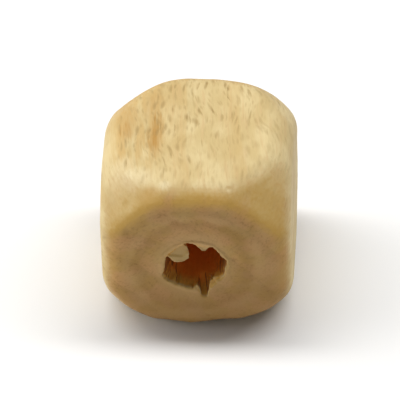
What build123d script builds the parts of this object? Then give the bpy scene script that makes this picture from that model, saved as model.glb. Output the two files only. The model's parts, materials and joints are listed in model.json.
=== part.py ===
"""Wooden cube bead: one block of pale hardwood, drilled through along its grain.

The block is sawn square and drilled, then tumbled until its edges are round and its corners lie
on a ball. The drill tore fibres out of the end grain at the front mouth of the bore.
Millimetres, +Z up. The origin is the centre of the flat that the bead rests on. The bore and the
grain run along Y, with the torn mouth at the front, -Y.
"""

from build123d import *

import os
from itertools import combinations
from math import cos, hypot, radians, sin, sqrt

# Block: the distances between its opposite flats
WIDTH = 10.0  # X, across the grain
LENGTH = 10.0  # Y, along the grain and the bore
HEIGHT = 10.0  # Z, from the resting flat to the top flat

# Tumbling
EDGE_ROUND = 1.5  # radius worn on the edges and on the rim of each flat
CORNER_WEAR_SHARE = 0.81  # how far each corner is worn down towards the middle of the edges
UNEVEN_WEAR_SHARE = 0.8  # how much more the upper back is worn, out of the most its edge allows

# Bore
BORE_DIAMETER = 3.0
CUT_OVERRUN = 0.5  # how far each cutting body reaches past the wood
BACK_MOUTH_EASE = 0.2  # radius worn on the back mouth's edge

# Torn front mouth: it opens wider than the bore and closes down to it inside the wood
TEAR_DEPTH = 1.4
TEAR_END_SHARE = 0.93  # width of the tear at its inner end, as a share of the bore
# Outline of the tear on the front flat, seen from the front: degrees anticlockwise from the
# right, and the reach from the bore's axis as a share of the bore's radius
TEAR_OUTLINE_SHARES = (
    (2, 1.10),
    (18, 1.14),
    (34, 1.05),
    (50, 1.13),
    (62, 1.07),
    (76, 1.03),
    (92, 1.07),
    (106, 1.10),
    (126, 1.05),
    (150, 1.04),
    (172, 1.03),
    (196, 1.12),
    (209, 1.24),
    (221, 1.13),
    (238, 1.05),
    (256, 1.06),
    (271, 1.08),
    (279, 1.30),
    (285, 1.36),
    (292, 1.26),
    (303, 1.05),
    (322, 1.03),
    (342, 1.06),
)


def tumbled_block():
    """The block centred on the origin: a core with ball-worn corners, and the edge round about it.

    The ball lies a little forward of the block's centre and below it, so the front and lower
    corners stay fuller.
    """
    core_sides = [side - 2 * EDGE_ROUND for side in (WIDTH, LENGTH, HEIGHT)]
    corner = hypot(*core_sides) / 2
    edge_middle = max(hypot(*pair) for pair in combinations(core_sides, 2)) / 2
    ball_radius = corner - CORNER_WEAR_SHARE * (corner - edge_middle)
    lean = UNEVEN_WEAR_SHARE * (ball_radius - edge_middle) / sqrt(2)
    core = Box(*core_sides) & Pos(Y=-lean, Z=-lean) * Sphere(ball_radius)
    return offset(core, EDGE_ROUND, kind=Kind.ARC)


def tear_section(y, outline):
    """A closed curve across the bore at y, through points given as degrees and shares."""
    bore_radius = BORE_DIAMETER / 2
    points = [
        (share * bore_radius * cos(radians(turn)), y, share * bore_radius * sin(radians(turn)))
        for turn, share in outline
    ]
    return Face(Wire(Spline(*points, periodic=True)))


def torn_mouth():
    """The wood torn out round the front mouth, fading into the bore."""
    front = -LENGTH / 2
    round_end = [(turn, TEAR_END_SHARE) for turn, _ in TEAR_OUTLINE_SHARES]
    sections = (
        tear_section(front - CUT_OVERRUN, TEAR_OUTLINE_SHARES),
        tear_section(front, TEAR_OUTLINE_SHARES),
        tear_section(front + TEAR_DEPTH, round_end),
    )
    return loft(sections, ruled=True)


def bead():
    """The whole bead, centred on the origin."""
    drill = Rot(X=90) * Cylinder(BORE_DIAMETER / 2, LENGTH + 2 * CUT_OVERRUN)
    drilled = tumbled_block() - drill
    back_flat = drilled.faces().sort_by(Axis.Y)[-1]
    eased = fillet(back_flat.inner_wires()[0].edges(), BACK_MOUTH_EASE)
    return eased - torn_mouth()


os.makedirs("parts", exist_ok=True)
export_step(Pos(Z=HEIGHT / 2) * bead(), "parts/bead.step")
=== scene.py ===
import json
import math
import random

import bmesh
import bpy
from mathutils import Matrix, Quaternion, Vector, noise


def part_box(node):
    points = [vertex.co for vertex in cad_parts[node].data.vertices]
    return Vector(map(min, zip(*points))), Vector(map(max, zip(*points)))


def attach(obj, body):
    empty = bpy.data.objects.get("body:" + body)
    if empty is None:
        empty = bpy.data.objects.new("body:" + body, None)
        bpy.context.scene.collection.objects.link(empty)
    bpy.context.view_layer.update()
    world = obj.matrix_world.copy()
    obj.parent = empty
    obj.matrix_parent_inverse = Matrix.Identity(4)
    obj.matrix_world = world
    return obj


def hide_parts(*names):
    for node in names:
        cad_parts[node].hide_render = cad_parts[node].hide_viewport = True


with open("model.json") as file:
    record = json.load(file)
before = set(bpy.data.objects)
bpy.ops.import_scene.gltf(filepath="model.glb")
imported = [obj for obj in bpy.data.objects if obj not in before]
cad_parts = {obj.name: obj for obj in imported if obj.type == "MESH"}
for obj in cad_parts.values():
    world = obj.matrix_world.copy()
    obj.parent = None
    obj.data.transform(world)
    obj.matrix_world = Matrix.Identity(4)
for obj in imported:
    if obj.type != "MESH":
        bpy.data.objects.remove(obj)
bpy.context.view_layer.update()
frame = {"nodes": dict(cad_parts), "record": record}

# The bead's wood
# One block of pale beech, sawn square along the grain, drilled through and tumbled until its
# corners are round. The drill broke fibres out of the front mouth and left others hanging in it.

MM = 0.001
BEAD_LOW, BEAD_HIGH = (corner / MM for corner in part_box("bead"))
FRONT = BEAD_LOW.y
BACK = BEAD_HIGH.y
BORE_HEIGHT = (BEAD_LOW.z + BEAD_HIGH.z) / 2
BORE = next(mount for mount in frame["record"]["mounts"] if mount["name"] == "bore")
BORE_RADIUS = BORE["dims"]["r_mm"]

# Wood that the drill left standing in the front mouth: its corners seen from the front, right and
# up from the bore's axis, then how far its face lies behind the flat, how far the face leans back
# for each millimetre up, and how deep it reaches
HANGING_FLAP = (
    (-1.90, 0.74),
    (-1.36, 0.62),
    (-1.18, 0.38),
    (-0.68, 0.34),
    (-0.34, 0.54),
    (-0.26, 0.86),
    (-0.38, 1.20),
    (-0.90, 1.72),
)
FLAP_LIP = (
    (-1.75, 0.66),
    (-1.32, 0.56),
    (-1.13, 0.30),
    (-0.90, 0.22),
    (-0.60, 0.25),
    (-0.27, 0.48),
    (-0.20, 0.88),
    (-0.42, 0.86),
    (-0.55, 0.60),
    (-1.10, 0.60),
    (-1.75, 0.84),
)
TOP_TOOTH = (
    (-0.50, 1.85),
    (-0.40, 1.54),
    (0.06, 1.47),
    (0.20, 1.26),
    (0.36, 1.09),
    (0.60, 1.07),
    (0.78, 1.31),
    (0.93, 1.85),
)
LOWER_SPUR = (
    (-0.14, -1.90),
    (-0.02, -1.52),
    (0.10, -1.34),
    (0.20, -1.42),
    (0.28, -1.90),
)
LOWER_LIP = (
    (0.70, -1.90),
    (0.70, -1.22),
    (0.92, -0.90),
    (1.18, -0.78),
    (1.40, -0.72),
    (1.80, -1.10),
)
LEFT_WOOD = (
    (HANGING_FLAP, 0.10, 0.20, 0.75),
    (FLAP_LIP, 0.02, 0.20, 0.42),
    (TOP_TOOTH, 0.04, 0.16, 0.60),
    (LOWER_SPUR, 0.05, 0.0, 0.42),
    (LOWER_LIP, 0.04, 0.10, 0.60),
)
INNER_END_SHARE = 0.80

# The mesh: its step, how it is smoothed, and the share of its faces that is kept
MESH_STEP = 0.055
SMOOTHING_ROUNDS, SMOOTHING_SHARE = 4, 0.5
KEPT_FACES_SHARE = 0.40
# Unevenness that tumbling and handling leave: slow waves, ridges along the grain, and dents
TUMBLE_WAVE, TUMBLE_DEPTH = 3.2, 0.050
RIDGE_WAVE, RIDGE_STRETCH, RIDGE_DEPTH = 0.36, 14.0, 0.012
FINE_RIDGES_TO_ONE, FINE_RIDGE_SHARE = 2.7, 0.25
DENTS, DENT_RADII, DENT_DEPTHS, DENT_SEED = 26, (0.18, 0.55), (0.015, 0.05), 11
# Places that are worn more than the rest, or less: right of, back from and above the middle of the
# resting flat, how far the wear spreads and how deep it is
WORN_PLACES = (
    ((1.9, -4.6, 0.45), 2.3, 0.24),
    ((-2.1, -4.6, 0.45), 1.9, 0.12),
    ((-3.9, 3.0, 8.9), 2.8, 0.12),
    ((3.3, -3.7, 9.0), 2.8, 0.20),
    ((0.0, 4.6, 9.5), 2.6, 0.06),
    ((3.7, 3.7, 8.8), 3.0, -0.22),
    ((-3.9, -4.2, 8.8), 1.8, 0.06),
)
# Bundles of fibres that are torn back round the mouth: their width, how much they wander, how far
# they are torn, the depths of the nearest and the furthest break, how gradual a break is, and how
# far from the bore's axis the tear fades out
BUNDLE_WIDTH, BUNDLE_WANDER, BUNDLE_TEAR = 0.17, 0.8, 0.09
BUNDLE_BREAKS, BREAK_SLOPE = (0.10, 1.30), 0.1
BUNDLE_REACH = (BORE_RADIUS * 1.1, BORE_RADIUS * 1.5)
# A split that runs on below the mouth: where it is round the bore, its half width and the share of
# it that is fully open, its length, and the depths and the reach over which it closes
SPLIT_ANGLE, SPLIT_HALF_ANGLE, SPLIT_OPEN_SHARE = math.radians(-78.5), math.radians(8), 0.45
SPLIT_LENGTH, SPLIT_DEPTHS = 0.24, (0.6, 1.4)
SPLIT_REACH = (BORE_RADIUS * 1.4, BORE_RADIUS * 1.75)
# Marks of the drill in the bore: how far out they are looked for, their depth, streaks for each
# radian round the bore and for each millimetre along it, and the fuzz between them
BORE_WALL_REACH = BORE_RADIUS * 1.2
BORE_ROUGHNESS, STREAKS_ROUND, STREAKS_ALONG = 0.035, 9, 0.5
FUZZ_PER_MM, FUZZ_SHARE = 5, 0.6


def add_left_wood(wood, outline, behind, lean, depth):
    """Adds one standing chip to the block as a closed prism, a little smaller at its inner end."""
    root = (Vector(outline[0]) + Vector(outline[-1])) / 2
    lowest = min(up for _, up in outline)
    rings = []
    for y, share in ((FRONT + behind, 1), (FRONT + depth, INNER_END_SHARE)):
        corners = [root + share * (Vector(corner) - root) for corner in outline]
        places = [(right, y + lean * (up - lowest), BORE_HEIGHT + up) for right, up in corners]
        rings.append([wood.verts.new(place) for place in places])
    near, far = rings
    faces = [wood.faces.new(near), wood.faces.new(reversed(far))]
    for i in range(len(outline)):
        faces.append(wood.faces.new((near[i], far[i], far[i - 1], near[i - 1])))
    bmesh.ops.recalc_face_normals(wood, faces=faces)


def shape_by(piece, kind, **settings):
    """Puts one modifier on a piece and keeps its result as the piece's mesh."""
    modifier = piece.modifiers.new(kind, kind)
    for name, value in settings.items():
        setattr(modifier, name, value)
    evaluated = piece.evaluated_get(bpy.context.evaluated_depsgraph_get())
    shaped = bpy.data.meshes.new_from_object(evaluated)
    piece.modifiers.clear()
    piece.data = shaped


def ease(value, start, end):
    """0 before start, 1 past end, and a smooth rise between them."""
    t = min(1, max(0, (value - start) / (end - start)))
    return t * t * (3 - 2 * t)


def torn_push(angle, depth, radius):
    """How far the wood by the front mouth is torn back from the bore's axis."""
    bundle = angle * BORE_RADIUS / BUNDLE_WIDTH
    bundle += BUNDLE_WANDER * noise.noise(Vector((angle * 3, depth * 1.5, 2.0)))
    luck = noise.cell(Vector((bundle, 5.5, 0.5)))
    tear = noise.cell(Vector((bundle, 9.5, 0.5))) ** 2 * BUNDLE_TEAR
    first, last = BUNDLE_BREAKS
    broken_at = first + (last - first) * luck * luck
    unbroken = 1 - ease(depth, broken_at - BREAK_SLOPE, broken_at + BREAK_SLOPE)
    torn = tear * unbroken * (1 - ease(radius, *BUNDLE_REACH))
    split = 1 - ease(abs(angle - SPLIT_ANGLE), SPLIT_HALF_ANGLE * SPLIT_OPEN_SHARE, SPLIT_HALF_ANGLE)
    split *= (1 - ease(depth, *SPLIT_DEPTHS)) * (1 - ease(radius, *SPLIT_REACH))
    return torn + SPLIT_LENGTH * split


def worn_place(place, normal, dents):
    """Where a point of the smooth block ends up on the used bead."""
    across = Vector((place.x, 0, place.z - BORE_HEIGHT))
    radius = across.length
    outward = across.normalized()
    depth = place.y - FRONT
    angle = math.atan2(across.z, across.x)
    moved = place.copy()
    if radius < SPLIT_REACH[1] and depth < SPLIT_DEPTHS[1]:
        moved += outward * torn_push(angle, depth, radius)
    if radius < BORE_WALL_REACH and normal.dot(outward) < 0:
        streak = noise.noise(Vector((angle * STREAKS_ROUND, place.y * STREAKS_ALONG, 4.0)))
        fuzz = noise.noise(place * FUZZ_PER_MM)
        return moved + outward * BORE_ROUGHNESS * (streak + FUZZ_SHARE * fuzz)
    wave = 0.5 + 0.5 * noise.noise(place / TUMBLE_WAVE)
    grain = Vector((place.x, place.y / RIDGE_STRETCH, place.z)) / RIDGE_WAVE
    ridge = 0.5 + 0.5 * noise.noise(grain)
    ridge += FINE_RIDGE_SHARE * noise.noise(grain * FINE_RIDGES_TO_ONE)
    sunk = TUMBLE_DEPTH * wave + RIDGE_DEPTH * ridge
    for centre, size, deep in dents:
        reach = (place - centre).length_squared / (size * size)
        if reach < 1:
            sunk += deep * (1 - reach) ** 2
    moved -= normal * sunk
    return Vector(max(low, min(high, at)) for low, high, at in zip(BEAD_LOW, BEAD_HIGH, moved))


block = bmesh.new()
block.from_mesh(frame["nodes"]["bead"].data)
bmesh.ops.scale(block, vec=(1 / MM, 1 / MM, 1 / MM), verts=block.verts)
bmesh.ops.remove_doubles(block, verts=block.verts, dist=MESH_STEP / 100)
for chip in LEFT_WOOD:
    add_left_wood(block, *chip)
bead = bpy.data.objects.new("bead_wood", bpy.data.meshes.new("bead_wood"))
block.to_mesh(bead.data)
block.free()
bpy.context.scene.collection.objects.link(bead)
shape_by(bead, "REMESH", mode="VOXEL", voxel_size=MESH_STEP)
shape_by(bead, "SMOOTH", factor=SMOOTHING_SHARE, iterations=SMOOTHING_ROUNDS)

chance = random.Random(DENT_SEED)
spots = chance.sample(range(len(bead.data.vertices)), DENTS)
dents = [
    (bead.data.vertices[spot].co.copy(), chance.uniform(*DENT_RADII), chance.uniform(*DENT_DEPTHS))
    for spot in spots
]
dents += [(Vector(centre), spread, deep) for centre, spread, deep in WORN_PLACES]
places = [worn_place(vertex.co, vertex.normal, dents) for vertex in bead.data.vertices]
bead.data.vertices.foreach_set("co", [number for place in places for number in place])
shape_by(bead, "DECIMATE", ratio=KEPT_FACES_SHARE)

# How far each point stands out from its neighbours, for the pale fresh edges of the tear, and how
# many times that is shared with the neighbours to even it out
EDGE_SPREAD = 2
edge_ends = [tuple(edge.vertices) for edge in bead.data.edges]
standing = [0.0] * len(bead.data.vertices)
neighbours = [0] * len(bead.data.vertices)
for pair in edge_ends:
    for here, there in (pair, pair[::-1]):
        step = bead.data.vertices[here].co - bead.data.vertices[there].co
        standing[here] += step.normalized().dot(bead.data.vertices[here].normal)
        neighbours[here] += 1
standing = [total / max(1, count) for total, count in zip(standing, neighbours)]
for _ in range(EDGE_SPREAD):
    shared = standing.copy()
    for here, there in edge_ends:
        shared[here] += standing[there]
        shared[there] += standing[here]
    standing = [total / (1 + count) for total, count in zip(shared, neighbours)]
bead.data.attributes.new("standing_out", "FLOAT", "POINT").data.foreach_set("value", standing)
bead.data.transform(Matrix.Scale(MM, 4))
bead.data.shade_smooth()


class Tone:
    """Something that varies over a finish: one socket of its nodes. Sums on it add Math nodes."""

    def __init__(self, finish, socket):
        self.finish = finish
        self.socket = socket

    def math(self, operation, *values):
        return self.finish.node("ShaderNodeMath", {"operation": operation}, dict(enumerate(values)))

    def __add__(self, other):
        return self.math("ADD", self, other)

    __radd__ = __add__

    def __sub__(self, other):
        return self.math("SUBTRACT", self, other)

    def __rsub__(self, other):
        return self.math("SUBTRACT", other, self)

    def __mul__(self, other):
        return self.math("MULTIPLY", self, other)

    __rmul__ = __mul__

    def __truediv__(self, other):
        return self.math("DIVIDE", self, other)

    def __rtruediv__(self, other):
        return self.math("DIVIDE", other, self)

    def __pow__(self, other):
        return self.math("POWER", self, other)

    def __rpow__(self, other):
        return self.math("POWER", other, self)

    def __abs__(self):
        return self.math("ABSOLUTE", self)


class Finish:
    """A material, made up node by node."""

    def __init__(self, name):
        self.material = bpy.data.materials.new(name)
        self.material.use_nodes = True
        self.tree = self.material.node_tree
        self.tree.nodes.clear()

    def node(self, kind, settings, sockets, out=0):
        """Adds a node, sets it, then fills its sockets. out names one output, or several."""
        made = self.tree.nodes.new(kind)
        for name, value in settings.items():
            setattr(made, name, value)
        for name, value in sockets.items():
            if isinstance(value, Tone):
                self.tree.links.new(value.socket, made.inputs[name])
            else:
                made.inputs[name].default_value = value
        if isinstance(out, tuple):
            return [Tone(self, made.outputs[name]) for name in out]
        return Tone(self, made.outputs[out]) if made.outputs else None

    def vector(self, x, y, z):
        return self.node("ShaderNodeCombineXYZ", {}, {0: x, 1: y, 2: z})

    def cloud(self, axes, sizes, detail=2.0):
        """Soft noise about 0.5, in clouds of the given sizes along three axes."""
        place = self.vector(*(axis / size for axis, size in zip(axes, sizes)))
        return self.node("ShaderNodeTexNoise", {}, {"Vector": place, "Scale": 1.0, "Detail": detail})

    def fade(self, value, start, end):
        """0 at start, 1 at end, and a smooth rise between them."""
        settings = {"interpolation_type": "SMOOTHSTEP"}
        return self.node("ShaderNodeMapRange", settings, {0: value, 1: start, 2: end})

    def dye(self, under, over, mask):
        """One colour over another where the mask is 1."""
        return self.node("ShaderNodeMix", {"data_type": "RGBA"}, {0: mask, 6: under, 7: over}, out=2)


# The tree's heart lay below the bead and to its left, so its rays cross each long flat aslant. The
# grain leans a little from the bore's line, and the rings wobble.
HEART_RIGHT, HEART_UP = -28.0, -24.0
GRAIN_LEAN = 0.12
RING_WIDTH, RING_WOBBLE, RAY_WOBBLE = 1.9, 1.6, 0.8
# Flecks where rays come to the surface: width and length of the large and the fine ones, how deep
# they go, how far they sway, how they are shifted from layer to layer and column to column, and
# how they thin out towards the front right
FLECK_WIDTH, FLECK_LENGTH, FLECK_DEPTH, FLECK_SWAY = 0.22, 1.10, 3.0, 0.7
FINE_FLECK_WIDTH, FINE_FLECK_LENGTH, FINE_FLECK_SHARE = 0.154, 0.66, 0.6
LAYER_SHIFT, COLUMN_SHIFT, FINE_FLECK_SHIFT = 7.3, 9, 41.5
THIN_FLECKS, FULL_FLECKS, FLECKS_THIN_OUT = 0.5, 1.2, (5.0, -2.0)
# Sizes of the clouds of colour: right, back and up for the first three, and for the others round
# the heart, along the grain and out from the heart. The blotches start higher up in their noise.
DRIFT_SIZES = (5, 16, 5)
PATCH_SIZES = (1.4, 2.4, 1.4)
BLOTCH_SIZES = (1.3, 6, 1.1)
FIBRE_SIZES = (0.14, 2.2, 0.14)
PORE_SIZES = (0.06, 0.7, 0.06)
SWAY_SIZES = (2, 2, 3)
END_SPECKLE_SIZES = (0.11, 3, 0.16)
END_PATCH_SIZES = (0.9, 4, 1.5)
BLOTCH_START = 9.9

CREAM = (0.70, 0.555, 0.285, 1)
STRAW = (0.615, 0.465, 0.215, 1)
BLUSH = (0.62, 0.43, 0.205, 1)
LATE_WOOD = (0.56, 0.36, 0.125, 1)
FLECK = (0.37, 0.245, 0.09, 1)
STAIN = (0.47, 0.250, 0.058, 1)
# Colour of the painted highlights by the front rim
PAINTED_HIGHLIGHT = (0.80, 0.67, 0.40, 1)
END_OLIVE = (0.465, 0.275, 0.082, 1)
END_PINK = (0.520, 0.288, 0.110, 1)
END_PORES = (0.27, 0.145, 0.045, 1)
END_PALE = (0.565, 0.370, 0.160, 1)
RIM = (0.515, 0.308, 0.066, 1)
TORN = (0.60, 0.44, 0.19, 1)
MOUTH_WALL = (0.56, 0.27, 0.040, 1)
# Colour of the painted shade on the mouth's side walls
SHADED_WALL = (0.22, 0.07, 0.012, 1)
CLEAN_WALL = (0.40, 0.225, 0.070, 1)
DRILLED = (0.80, 0.27, 0.032, 1)
# Colour of the painted light on the bore's lower wall
LIT_LOWER_WALL = (0.70, 0.40, 0.07, 1)

# Heights, places and distances over which a colour fades in, from none to all of it
TOP_FLAT = (8.5, 9.6)
OCHRE_MIDDLE, OCHRE_SIDES, OCHRE_FRONT, OCHRE_TOP = -3.0, (1.9, 0.5), (-2.6, -0.6), (8.6, 9.7)
# Painted shade: heights and lean over which the end grain darkens towards the foot, then the heights
# of the painted shade on the lower rim
FOOT_SHADE_HEIGHTS, FOOT_SHADE_LEAN, RIM_SHADE_HEIGHTS = (6.0, 0.8), 0.25, (1.3, 0.2)
# The same for distances from the bore's axis, with the middles of two rings
PALE_COLLAR, CHIP_FACES = (2.4, 1.6), (1.55, 1.25)
DARK_RING, DARK_RING_SIDES = 2.85, (0.55, 0.05)
PALE_RING, PALE_RING_SIDES = 3.55, (0.50, 0.05)
MOUTH_REACH, TORN_REACH = (2.6, 2.2), (2.7, 2.1)
# The same for depths behind the front flat, and for distances from the back flat
MOUTH_DEPTHS, TORN_DEPTHS, DRILLED_DEPTHS = (0, 0.25), (1.2, 0.5), (0.20, 1.1)
# Painted shade on the mouth's side walls starts and ends over the first two depths; painted light on
# the lower wall fades out over the third
WALL_SHADE_STARTS, WALL_SHADE_ENDS, LIT_LOWER_WALL_DEPTHS = (0.05, 0.25), (2.5, 1.0), (1.0, 0.2)
CLEAN_BEFORE_BACK, BACK_MOUTH = (5.5, 2.0), (0.02, 0.35)
# Stains on the top flat: right of the middle, back from the middle, their half sizes and strength
STAINS = (
    (-2.15, -0.40, 0.30, 1.15, 1.00),
    (-3.75, 1.00, 0.40, 1.00, 0.45),
    (-3.75, -0.20, 0.30, 0.60, 0.45),
    (-2.40, 1.90, 0.35, 0.90, 0.40),
    (-2.35, -4.35, 0.40, 0.25, 0.55),
)
# Painted highlights: pale spots by the front rim where light catches the corner, given in the same way
HIGHLIGHT_SPOTS = (
    (-2.95, -3.40, 0.60, 0.50, 0.75),
    (-3.70, -2.70, 0.50, 0.60, 0.55),
    (-1.50, -4.00, 0.24, 0.20, 0.80),
)
STAIN_RAGGEDNESS, HIGHLIGHT_RAGGEDNESS = 3.0, 0.8
WAX_ROUGHNESS, WAX_GLOSS = 0.52, 0.22
RELIEF_HEIGHT, RELIEF_STRENGTH = 0.03 * MM, 0.6

beech = Finish("waxed_beech")
spot, facing = beech.node("ShaderNodeTexCoord", {}, {}, out=("Object", "Normal"))
spot_mm = beech.node("ShaderNodeVectorMath", {"operation": "SCALE"}, {0: spot, "Scale": 1 / MM})
right, back, up = beech.node("ShaderNodeSeparateXYZ", {}, {0: spot_mm}, out=(0, 1, 2))
faces_right, faces_back, faces_up = beech.node("ShaderNodeSeparateXYZ", {}, {0: facing}, out=(0, 1, 2))
end_on = abs(faces_back - faces_right * GRAIN_LEAN)

# Where a point lies in the tree that the block was sawn from
block_axes = (right, back, up)
drift = beech.cloud(block_axes, DRIFT_SIZES) - 0.5
from_heart_right = right + back * GRAIN_LEAN - HEART_RIGHT
from_heart_up = up - HEART_UP
from_heart = (from_heart_right ** 2 + from_heart_up ** 2) ** 0.5 + drift * RING_WOBBLE
turn = beech.node("ShaderNodeMath", {"operation": "ARCTAN2"}, {0: from_heart_right, 1: from_heart_up})
round_heart = turn * math.hypot(HEART_RIGHT, HEART_UP) + drift * RAY_WOBBLE
tree_axes = (round_heart, back, from_heart)
year = beech.node("ShaderNodeMath", {"operation": "FRACT"}, {0: from_heart / RING_WIDTH})
late = beech.fade(year, 0.45, 0.93) * beech.fade(year, 1.0, 0.95)

layer = beech.node("ShaderNodeMath", {"operation": "FLOOR"}, {0: from_heart / FLECK_DEPTH})
fibre = beech.cloud(tree_axes, FIBRE_SIZES, detail=3.0)
pore = beech.cloud(tree_axes, PORE_SIZES, detail=1.0)
patch = beech.cloud(block_axes, PATCH_SIZES, detail=3.0)
sway = beech.cloud(tree_axes, SWAY_SIZES, detail=0.0) - 0.5


def flecks(width, length, shift):
    """Short dark marks along the grain, shuffled so that they form no rows."""
    across = (round_heart + sway * FLECK_SWAY) / width + layer * LAYER_SHIFT + shift
    column = beech.node("ShaderNodeMath", {"operation": "FLOOR"}, {0: across / 2})
    shuffled = beech.node("ShaderNodeTexWhiteNoise", {"noise_dimensions": "1D"}, {"W": column})
    along = back / length + shuffled * COLUMN_SHIFT
    distance, tint = beech.node(
        "ShaderNodeTexVoronoi",
        {"voronoi_dimensions": "2D"},
        {"Vector": beech.vector(across, along, 0), "Scale": 1.0},
        out=("Distance", "Color"),
    )
    luck = beech.node("ShaderNodeSeparateColor", {}, {0: tint}, out=0)
    return beech.fade(distance + (fibre - 0.5) * 0.5, 0.42, 0.05) * beech.fade(luck, 0.0, 1.0)


fleck = flecks(FLECK_WIDTH, FLECK_LENGTH, 0)
fleck = fleck + flecks(FINE_FLECK_WIDTH, FINE_FLECK_LENGTH, FINE_FLECK_SHIFT) * FINE_FLECK_SHARE
# A face that runs along the rays shows no short flecks
along_ray = (faces_right * from_heart_up - faces_up * from_heart_right) / from_heart
along_ray = abs(along_ray) / (faces_right ** 2 + faces_up ** 2 + 0.02) ** 0.5
thinned = THIN_FLECKS + (FULL_FLECKS - THIN_FLECKS) * beech.fade(right - back, *FLECKS_THIN_OUT)
fleck = fleck * beech.fade(along_ray, 0.94, 0.80) * thinned


def top_spots(places, raggedness):
    """Where spots lie on the top flat, with edges that follow the fibres."""
    covered = 0.0
    for spot_right, spot_back, half_width, half_length, strength in places:
        reach = ((right - spot_right) / half_width) ** 2 + ((back - spot_back) / half_length) ** 2
        ragged = reach + ((fibre - 0.5) * 2 + pore - 0.5) * raggedness
        covered = covered + beech.fade(ragged, 3.0, -1.0) * strength
    return covered * beech.fade(up, *TOP_FLAT)


# Flats along the grain
ochre = beech.fade(abs(right - OCHRE_MIDDLE + drift * 2), *OCHRE_SIDES) * beech.fade(up, *OCHRE_TOP)
ochre = ochre * beech.fade(back + patch * 2, *OCHRE_FRONT)
long_grain = beech.dye(STRAW, CREAM, beech.fade(patch, 0.38, 0.62))
long_grain = beech.dye(long_grain, BLUSH, beech.fade(fibre, 0.48, 0.75) * 0.6)
long_grain = beech.dye(long_grain, LATE_WOOD, late * 0.30)
long_grain = beech.dye(long_grain, LATE_WOOD, ochre * beech.fade(fibre, 0.30, 0.60) * 0.60)
long_grain = beech.dye(long_grain, STAIN, top_spots(STAINS, STAIN_RAGGEDNESS))
# Painted highlights: pale spots by the front rim of the top flat
long_grain = beech.dye(long_grain, PAINTED_HIGHLIGHT, top_spots(HIGHLIGHT_SPOTS, HIGHLIGHT_RAGGEDNESS))
long_grain = beech.dye(long_grain, FLECK, fleck * 0.56 + beech.fade(pore, 0.58, 0.80) * 0.22)

# End grain, ringed round the bore, with painted shade that darkens it towards the foot
from_bore_up = up - BORE_HEIGHT
from_bore = (right ** 2 + from_bore_up ** 2) ** 0.5
end_speckle = beech.cloud(tree_axes, END_SPECKLE_SIZES)
end_patch = beech.cloud(tree_axes, END_PATCH_SIZES, detail=3.0)
ringed = from_bore + drift * RING_WOBBLE + end_patch - 0.5
blotch = beech.cloud((right, back, up + BLOTCH_START), BLOTCH_SIZES)
end_grain = beech.dye(END_OLIVE, END_PINK, beech.fade(blotch, 0.40, 0.60))
end_grain = beech.dye(end_grain, END_PORES, beech.fade(end_speckle, 0.48, 0.78) * 0.50 + late * 0.22)
end_grain = beech.dye(end_grain, END_PALE, beech.fade(end_patch, 0.40, 0.68) * 0.35)
end_grain = beech.dye(end_grain, END_PALE, beech.fade(ringed, *PALE_COLLAR) * 0.45)
dark_ring = beech.fade(abs(ringed - DARK_RING), *DARK_RING_SIDES)
end_grain = beech.dye(end_grain, END_PORES, dark_ring * 0.24)
pale_ring = beech.fade(abs(ringed - PALE_RING), *PALE_RING_SIDES)
end_grain = beech.dye(end_grain, END_PALE, pale_ring * 0.22)
# Painted shade: the end grain darkens towards the foot, in the pores' colour
painted_foot_shade = beech.fade(up + drift * 3 - right * FOOT_SHADE_LEAN, *FOOT_SHADE_HEIGHTS)
end_grain = beech.dye(end_grain, END_PORES, painted_foot_shade * 0.54)
sloping = beech.fade(end_on, 0.30, 0.65) * beech.fade(end_on, 1.0, 0.80)
gilded = sloping * beech.fade(faces_up, -0.25, 0.45) * beech.fade(end_patch, 0.15, 0.50)
end_grain = beech.dye(end_grain, RIM, gilded * 0.80)
cut_across = beech.fade(end_on + (fibre - 0.5) * 0.16 + (patch - 0.5) * 0.25, 0.27, 0.83)
colour = beech.dye(long_grain, end_grain, cut_across)
# Painted shade: the lower rims, where they turn under towards the floor, are darkened in the pores'
# colour
painted_rim_shade = beech.fade(up, *RIM_SHADE_HEIGHTS) * beech.fade(faces_up, -0.98, -0.75)
colour = beech.dye(colour, END_PORES, painted_rim_shade * 0.35)

# The bore and the torn wood in its front mouth
inward = back - FRONT
before_back = BACK - back
faces_bore = (faces_right * right + faces_up * from_bore_up) / from_bore * -1
in_mouth = beech.fade(faces_bore, 0.05, 0.45) * beech.fade(from_bore, *MOUTH_REACH)
edge = beech.node("ShaderNodeAttribute", {"attribute_name": "standing_out"}, {}, out="Fac")
torn = beech.fade(edge, 0.04, 0.20) * beech.fade(from_bore, *TORN_REACH)
torn = torn * beech.fade(inward, *TORN_DEPTHS)
wall = beech.dye(MOUTH_WALL, DRILLED, beech.fade(inward, *DRILLED_DEPTHS) * 0.9)
# Painted shade: the mouth's side walls that face left and right are darkened from just inside the
# mouth
painted_wall_shade = beech.fade(abs(faces_right), 0.60, 0.95) * beech.fade(inward, *WALL_SHADE_ENDS)
wall = beech.dye(wall, SHADED_WALL, painted_wall_shade * beech.fade(inward, *WALL_SHADE_STARTS) * 0.85)
# Painted light: the upward-facing lower wall just inside the mouth is made golden
painted_light_on_lower_wall = beech.fade(faces_up, 0.55, 0.90) * beech.fade(inward, *LIT_LOWER_WALL_DEPTHS)
wall = beech.dye(wall, LIT_LOWER_WALL, painted_light_on_lower_wall * 0.7)
wall = beech.dye(wall, CLEAN_WALL, beech.fade(before_back, *CLEAN_BEFORE_BACK))
inside = beech.fade(inward, *MOUTH_DEPTHS) * beech.fade(before_back, *BACK_MOUTH)
colour = beech.dye(colour, wall, in_mouth * inside)
colour = beech.dye(colour, TORN, torn * 0.6)
colour = beech.dye(colour, TORN, (1 - in_mouth) * beech.fade(from_bore, *CHIP_FACES) * 0.45)

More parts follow.
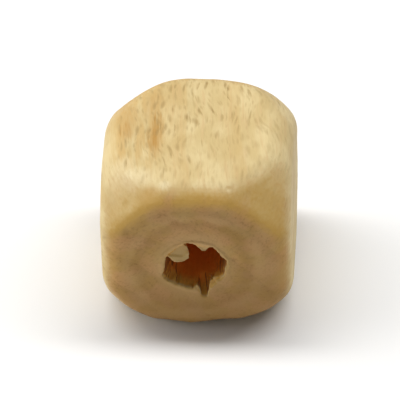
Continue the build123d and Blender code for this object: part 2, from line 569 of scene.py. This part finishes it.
# Wax over the wood
roughness = WAX_ROUGHNESS + 0.16 * fibre + 0.14 * cut_across + 0.15 * in_mouth
relief = (fibre * 0.5 + fleck * -0.6 + pore * 0.35) * (1 - cut_across) + end_speckle * cut_across * 0.8
bump = beech.node(
    "ShaderNodeBump",
    {},
    {"Strength": RELIEF_STRENGTH, "Distance": RELIEF_HEIGHT, "Height": relief},
)
wood = beech.node(
    "ShaderNodeBsdfPrincipled",
    {},
    {"Base Color": colour, "Roughness": roughness, "Specular IOR Level": WAX_GLOSS, "Normal": bump},
)
beech.node("ShaderNodeOutputMaterial", {}, {"Surface": wood})

bead.data.materials.clear()
bead.data.materials.append(beech.material)
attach(bead, "root")
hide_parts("bead")

# The floor
# A plain pale board under the bead, wide enough to fill the picture and to throw light back up.

FLOOR_SIDE = 1500 * MM
FLOOR_PALE = (0.90, 0.895, 0.885, 1)
FLOOR_ROUGHNESS = 0.8

sheet = bmesh.new()
bmesh.ops.create_grid(sheet, x_segments=2, y_segments=2, size=FLOOR_SIDE / 2)
floor = bpy.data.objects.new("floor", bpy.data.meshes.new("floor"))
sheet.to_mesh(floor.data)
sheet.free()
bpy.context.scene.collection.objects.link(floor)
board = Finish("pale_board")
paint = board.node(
    "ShaderNodeBsdfPrincipled",
    {},
    {"Base Color": FLOOR_PALE, "Roughness": FLOOR_ROUGHNESS},
)
board.node("ShaderNodeOutputMaterial", {}, {"Surface": paint})
floor.data.materials.append(board.material)

# The light
# One long soft box overhead and a little behind, a weak one at the left, and a faint even glow from
# all round, so that the top is bright and the end grain in front is lit by the floor.

# Width and depth of each box, its place, and its power in watts
SOFT_BOXES = {
    "soft_box_above": (Vector((900, 90)) * MM, Vector((0, 68, 430)) * MM, 2.78),
    "soft_box_left": (Vector((300, 160)) * MM, Vector((-360, 20, 110)) * MM, 0.66),
}
GLOW = (0.86, 0.88, 0.90, 1)
GLOW_STRENGTH = 0.18

for name, (size, place, watts) in SOFT_BOXES.items():
    box = bpy.data.objects.new(name, bpy.data.lights.new(name, "AREA"))
    box.data.shape = "RECTANGLE"
    box.data.size, box.data.size_y = size
    box.data.energy = watts
    box.location = place
    box.rotation_mode = "QUATERNION"
    box.rotation_quaternion = (-place).to_track_quat("-Z", "Y")
    bpy.context.scene.collection.objects.link(box)
world = bpy.data.worlds.new("glow")
world.use_nodes = True
glow = world.node_tree.nodes["Background"]
glow.inputs["Color"].default_value = GLOW
glow.inputs["Strength"].default_value = GLOW_STRENGTH
bpy.context.scene.world = world
bpy.context.scene.view_settings.view_transform = "Standard"

# The camera
# A long lens that looks down on the bead's front from a little to its right.

AZIMUTH, ELEVATION, ROLL = math.radians(4.5), math.radians(44.0), math.radians(1.8)
DISTANCE = 300 * MM
PICTURE_WIDTH = 21 * MM
SENSOR = 36.0
CLIP = (10 * MM, 3.0)

camera = bpy.data.objects.new("camera", bpy.data.cameras.new("camera"))
level = Vector((math.sin(AZIMUTH), -math.cos(AZIMUTH), 0))
towards_camera = level * math.cos(ELEVATION) + Vector((0, 0, math.sin(ELEVATION)))
camera.location = Vector((0, 0, BORE_HEIGHT * MM)) + towards_camera * DISTANCE
camera.rotation_mode = "QUATERNION"
straight = (-towards_camera).to_track_quat("-Z", "Y")
camera.rotation_quaternion = straight @ Quaternion((0, 0, 1), -ROLL)
camera.data.sensor_width = SENSOR
camera.data.lens = SENSOR * DISTANCE / PICTURE_WIDTH
camera.data.clip_start, camera.data.clip_end = CLIP
bpy.context.scene.collection.objects.link(camera)
bpy.context.scene.camera = camera
